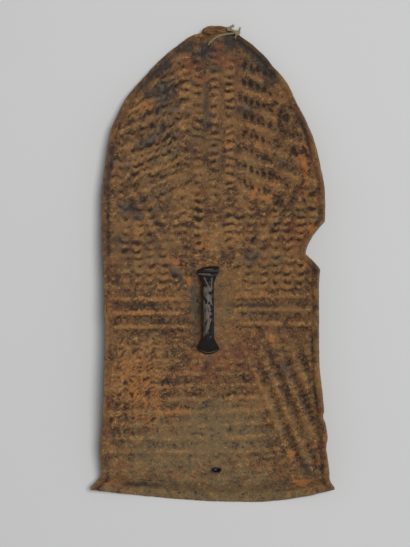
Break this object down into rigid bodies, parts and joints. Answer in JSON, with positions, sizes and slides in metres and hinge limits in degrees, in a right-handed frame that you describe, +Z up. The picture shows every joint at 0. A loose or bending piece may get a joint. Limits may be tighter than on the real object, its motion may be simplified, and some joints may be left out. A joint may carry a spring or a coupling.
{
  "type": "hide shield",
  "caption": "Tall ogival rawhide shield with tooled rows, a flared base edge and a black leather grip, lying grip side up.",
  "frame": {"origin": "on the ground under the middle of the shield's bounding box, with the shield lying on its front", "axes": "+Y from the flared base edge to the apex, +X to the right seen from the grip side, +Z up, out of the grip side"},
  "size_m": [0.583, 1.1476, 0.0861],
  "materials": {
    "rawhide": "worn",
    "black_leather": "satin",
    "plant_fibre": "matte"
  },
  "bodies": {
    "root": {"hide_board": "rawhide", "grip": "black_leather", "tie_cord": "plant_fibre"}
  },
  "joints": []
}
